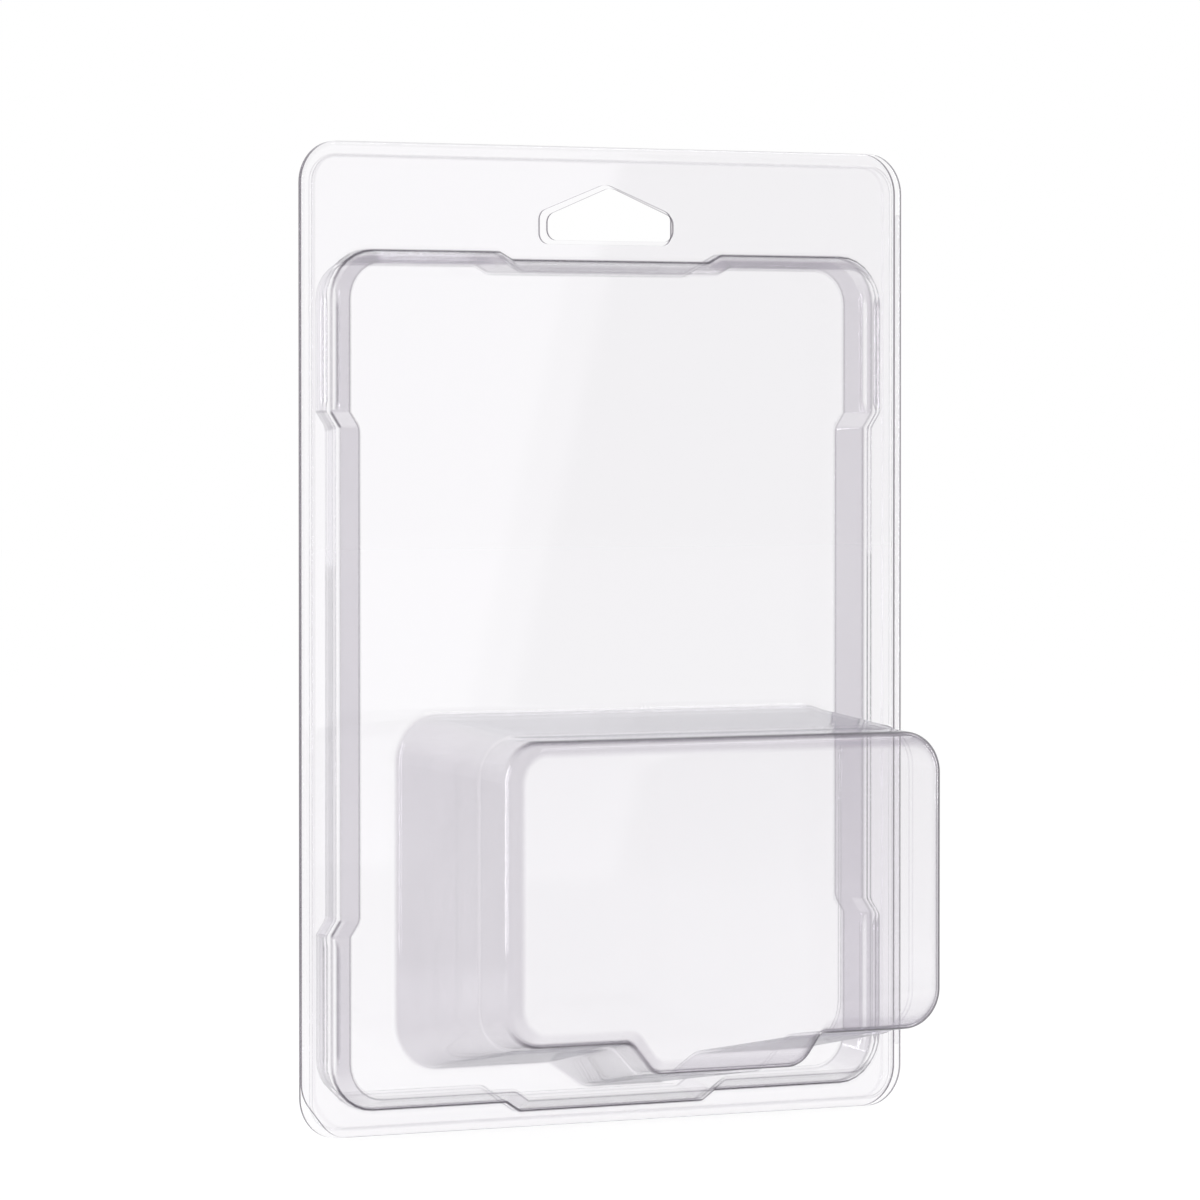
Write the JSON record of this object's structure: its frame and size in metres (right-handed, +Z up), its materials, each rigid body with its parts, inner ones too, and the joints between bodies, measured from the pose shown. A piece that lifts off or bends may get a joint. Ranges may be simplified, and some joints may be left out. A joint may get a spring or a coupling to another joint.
{
  "type": "clear clamshell card protector",
  "caption": "Hinged clear clamshell protector: jogged card tray, box blister for a toy car, rear pan, delta hang hole and finger corner.",
  "frame": {"origin": "top of the front sheet's hang hole, where a peg bears, on the parting plane between the two sheets", "axes": "+Z up along the case's height, +X to the right seen from the front, +Y to the back; the blister faces -Y"},
  "size_m": [0.141, 0.0508, 0.19],
  "materials": {
    "clear_sheet": "clear gloss thermoformed PET sheet"
  },
  "bodies": {
    "front": {"front_shell": "clear_sheet"},
    "rear": {"rear_shell": "clear_sheet"}
  },
  "joints": [
    {"name": "hinge_fold", "type": "hinge", "parent": "front", "child": "rear", "pos_m": [0.06995, 0, -0.087], "axis": [0, 0, -1], "range_deg": [0, 180]}
  ]
}
